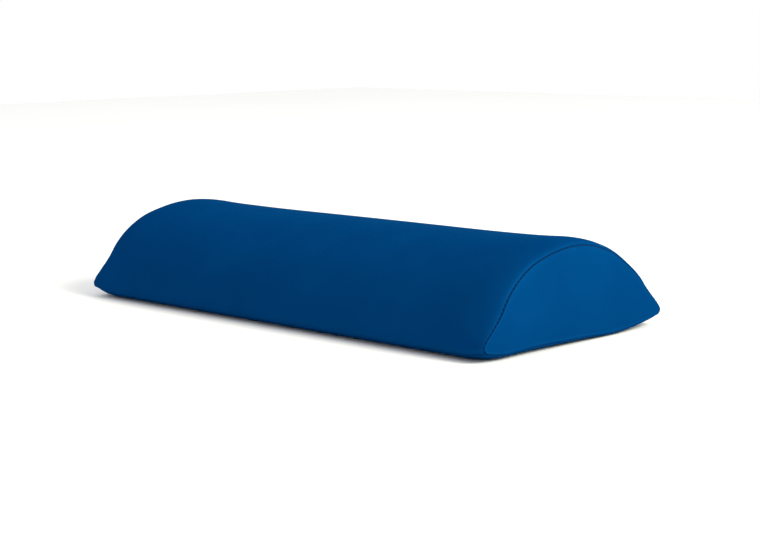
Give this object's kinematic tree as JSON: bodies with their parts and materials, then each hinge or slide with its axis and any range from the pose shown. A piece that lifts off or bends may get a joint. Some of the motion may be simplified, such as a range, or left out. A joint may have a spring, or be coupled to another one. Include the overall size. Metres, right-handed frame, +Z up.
{
  "type": "lumbar support cushion",
  "caption": "Half-round lumbar support cushion: foam core in a sewn blue leatherette cover, flat base, plain sewn ends and a zip low on the rear flank.",
  "frame": {"origin": "middle of the flat base, on the surface the cushion rests on", "axes": "+X along the cushion towards its right end, +Y towards the rear flank with the zip, +Z up to the crown"},
  "size_m": [0.41, 0.1993, 0.071],
  "materials": {
    "foam": "open-cell polyurethane foam, cut faces",
    "leatherette": "smooth blue coated fabric with a fine grain, satin",
    "thread": "matt polyester sewing thread",
    "zip_tape": "matt woven polyester tape",
    "zip_coil": "nylon coil, satin",
    "zip_metal": "nickel-plated zinc casting"
  },
  "bodies": {
    "cushion": {"foam_core": "foam", "top_panel": "leatherette", "base_panel": "leatherette", "left_end_panel": "leatherette", "right_end_panel": "leatherette", "left_end_seam_thread": "thread", "right_end_seam_thread": "thread", "front_seam_thread": "thread", "left_rear_seam_thread": "thread", "right_rear_seam_thread": "thread", "zip_upper_stitching": "thread", "zip_lower_stitching": "thread", "zip_upper_tape": "zip_tape", "zip_lower_tape": "zip_tape", "zip_upper_coil": "zip_coil", "zip_lower_coil": "zip_coil", "zip_upper_top_stop": "zip_metal", "zip_lower_top_stop": "zip_metal", "zip_bottom_stop": "zip_metal"},
    "slider": {"zip_slider": "zip_metal"},
    "pull": {"zip_pull": "zip_metal"}
  },
  "joints": [
    {"name": "zip_slide", "type": "slide", "parent": "cushion", "child": "slider", "axis": [-1, 0, 0], "range_m": [0, 0.342]},
    {"name": "pull_hinge", "type": "hinge", "parent": "slider", "child": "pull", "pos_m": [0.171, 0.09579, 0.02119], "axis": [0, 0.4848, -0.8746], "range_deg": [0, 165]}
  ]
}
